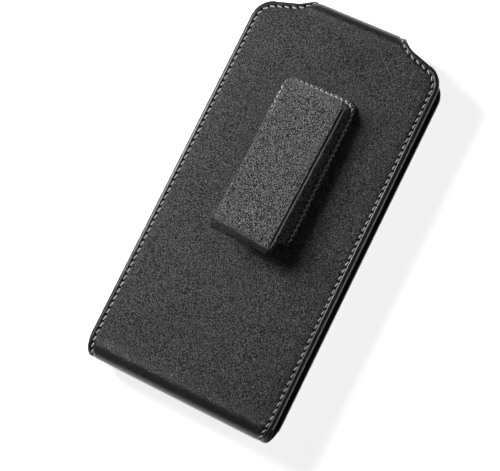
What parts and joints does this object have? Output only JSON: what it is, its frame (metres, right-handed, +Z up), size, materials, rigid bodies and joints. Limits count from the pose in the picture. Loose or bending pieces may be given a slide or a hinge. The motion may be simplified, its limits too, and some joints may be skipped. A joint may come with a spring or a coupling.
{
  "type": "belt case",
  "caption": "Slim black leather belt case with a fold-over magnetic flap, elastic side gussets and a leather-covered spring belt clip on its back.",
  "frame": {"origin": "under the middle of the case, on the surface it lies on with its closed front down", "axes": "+X across the case, +Y towards the flap fold, +Z up out of the back panel, on the belt clip's side"},
  "size_m": [0.082, 0.1664, 0.0326],
  "materials": {
    "leather": "smooth fine-grained matte black leather",
    "clip_leather": "tight-grained satin black leather",
    "lining": "short brushed microfibre",
    "board": "pressed fibre board",
    "elastic": "ribbed woven elastic",
    "thread": "waxed grey sewing thread",
    "spring_steel": "blued spring steel",
    "keeper_steel": "plated sheet steel",
    "magnet": "nickel-plated magnet",
    "rivet": "plain brass"
  },
  "bodies": {
    "case": {"outer_wrap": "leather", "back_board": "board", "front_board": "board", "pocket_lining": "lining", "keeper_discs": "keeper_steel", "gusset_left": "elastic", "gusset_right": "elastic", "back_thread": "thread", "front_thread": "thread", "clip_base_spring": "spring_steel", "clip_bend_cover": "clip_leather", "clip_patch": "leather", "patch_thread": "thread", "clip_rivets": "rivet"},
    "flap_spine": {"spine_leather": "leather", "spine_lining": "lining"},
    "flap_tongue": {"tongue_leather": "leather", "tongue_board": "board", "tongue_lining": "lining", "tongue_thread": "thread", "flap_magnets": "magnet"},
    "clip_leaf": {"clip_leaf_spring": "spring_steel", "clip_outer_cover": "clip_leather", "clip_inner_cover": "clip_leather"}
  },
  "joints": [
    {"name": "flap_open", "type": "hinge", "parent": "case", "child": "flap_spine", "pos_m": [0, 0.08168, 0.01848], "axis": [1, 0, 0], "range_deg": [0, 180]},
    {"name": "tongue_unfold", "type": "hinge", "parent": "flap_spine", "child": "flap_tongue", "pos_m": [0, 0.08168, 0.00152], "axis": [1, 0, 0], "range_deg": [0, 90]},
    {"name": "clip_flex", "type": "hinge", "parent": "case", "child": "clip_leaf", "pos_m": [0, 0.0433, 0.0238], "axis": [-1, 0, 0], "range_deg": [0, 12], "stiffness_Nm_per_rad": 2}
  ]
}
